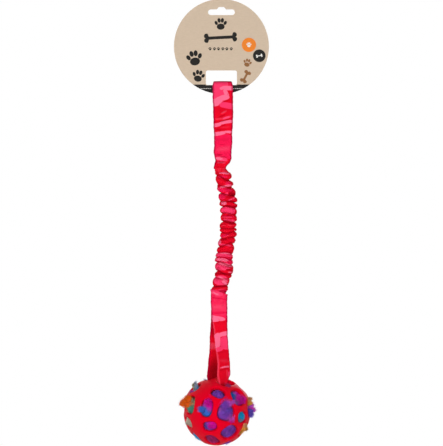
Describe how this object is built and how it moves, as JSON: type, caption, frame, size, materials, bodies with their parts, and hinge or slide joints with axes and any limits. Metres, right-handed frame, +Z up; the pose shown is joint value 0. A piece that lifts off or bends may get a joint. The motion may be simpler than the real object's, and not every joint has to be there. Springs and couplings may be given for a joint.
{
  "type": "dog tug toy",
  "caption": "Hanging dog tug toy: fabric handle loop, gathered bungee strap and a rubber lattice ball filled with plush, on a round hang card.",
  "frame": {"origin": "the seat of the card's peg slot, in the middle of the card's thickness, where a shop peg carries the toy", "axes": "+Z up along the hanging toy, +Y away from the viewer of the card's printed front, +X to that viewer's right"},
  "size_m": [0.1064, 0.0747, 0.5001],
  "materials": {
    "card": "matt printed board",
    "strap": "woven print",
    "sleeve": "gathered woven print",
    "elastic": "covered elastic",
    "thread": "thread",
    "rubber": "satin rubber",
    "fur": "tie-dyed faux fur",
    "fibre": "loose fibre",
    "squeaker": "moulded"
  },
  "bodies": {
    "card": {"hang_card": "card"},
    "handle": {"handle_loop": "strap", "handle_tack_front": "thread", "handle_tack_back": "thread"},
    "bungee": {"upper_cuff": "strap", "bungee_sleeve": "sleeve", "elastic_core": "elastic"},
    "lower_seam": {"lower_cuff": "strap"},
    "loop": {"ball_loop": "strap", "loop_tack_front": "thread", "loop_tack_back": "thread"},
    "ball": {"ball_shell": "rubber", "plush_cover": "fur", "stuffing": "fibre", "squeaker_drum": "squeaker", "squeaker_reed": "squeaker"}
  },
  "joints": [
    {"name": "card_tilt", "type": "hinge", "parent": "card", "child": "handle", "pos_m": [0, 0, -0.0874], "axis": [1, 0, 0], "range_deg": [-15, 15]},
    {"name": "handle_bend", "type": "hinge", "parent": "handle", "child": "bungee", "pos_m": [0, 0, -0.1774], "axis": [1, 0, 0], "range_deg": [-60, 60]},
    {"name": "bungee_stretch", "type": "slide", "parent": "bungee", "child": "lower_seam", "axis": [0, 0, -1], "range_m": [0, 0.13], "stiffness_N_per_m": 60, "springref_m": -0.02, "deforming": ["bungee_sleeve", "elastic_core"]},
    {"name": "loop_bend", "type": "hinge", "parent": "lower_seam", "child": "loop", "pos_m": [0, 0, -0.3308], "axis": [1, 0, 0], "range_deg": [-60, 60]},
    {"name": "ball_swing", "type": "hinge", "parent": "loop", "child": "ball", "pos_m": [-0.00374, -0.0064, -0.4195], "axis": [0.633, 0.7647, 0.1206], "range_deg": [-30, 30]}
  ]
}
